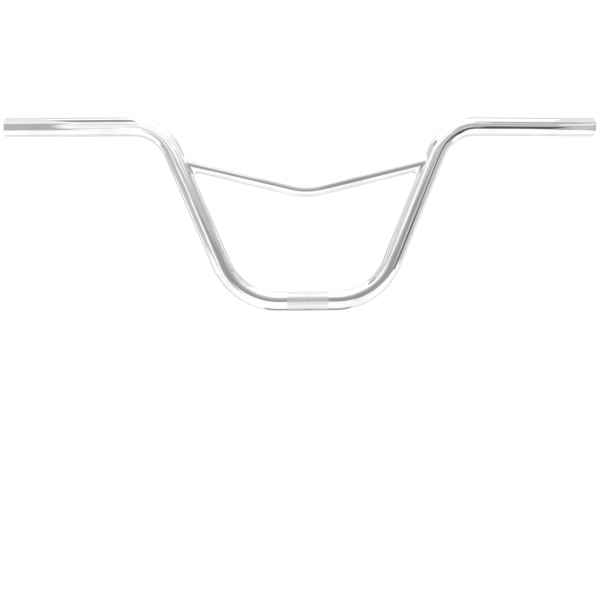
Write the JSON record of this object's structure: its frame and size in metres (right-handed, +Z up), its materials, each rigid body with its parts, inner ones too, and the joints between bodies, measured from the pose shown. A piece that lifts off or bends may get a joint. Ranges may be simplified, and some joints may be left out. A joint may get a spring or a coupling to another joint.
{
  "type": "bmx handlebar",
  "caption": "Chrome-plated bent steel tube handlebar with swept-back grip ends, a V-shaped crossbar brazed between its uprights and a knurled band for the stem.",
  "frame": {"origin": "centre of the stem clamp band, on the main tube's axis", "axes": "+X along the clamp to the rider's left, +Y back towards the rider, +Z up"},
  "size_m": [0.7244, 0.0552, 0.236],
  "materials": {
    "chrome_plate": "polished"
  },
  "bodies": {
    "root": {"main_tube": "chrome_plate", "crossbar_tube": "chrome_plate", "left_joint_fillet": "chrome_plate", "right_joint_fillet": "chrome_plate"}
  },
  "joints": []
}
